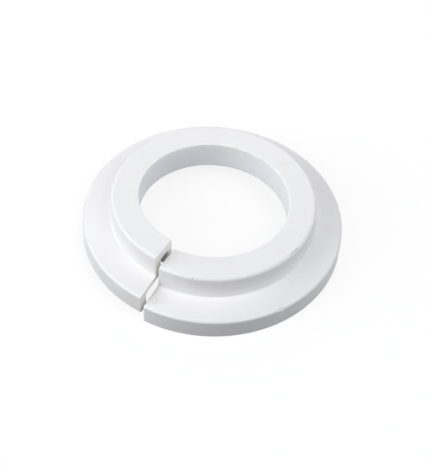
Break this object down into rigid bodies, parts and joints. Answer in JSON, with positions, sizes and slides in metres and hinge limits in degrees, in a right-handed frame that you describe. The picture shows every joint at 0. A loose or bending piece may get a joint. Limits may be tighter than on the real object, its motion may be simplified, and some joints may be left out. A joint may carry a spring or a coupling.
{
  "type": "split pipe rosette",
  "caption": "Moulded plastic collar ring with a sloping flange and hollow back, split by a slot so that it springs open, closes round a pipe and covers the hole it passes through.",
  "frame": {"origin": "on the pipe's axis, in the plane that the rim stands on, with the ring lying on its back", "axes": "+Z along the pipe, away from the wall; -Y points to the slot; the end on the -X side of the slot stands higher"},
  "size_m": [0.0876, 0.0876, 0.0211],
  "materials": {
    "white_plastic": "satin white moulded polypropylene"
  },
  "bodies": {
    "root": {"split_rosette": "white_plastic"}
  },
  "joints": []
}
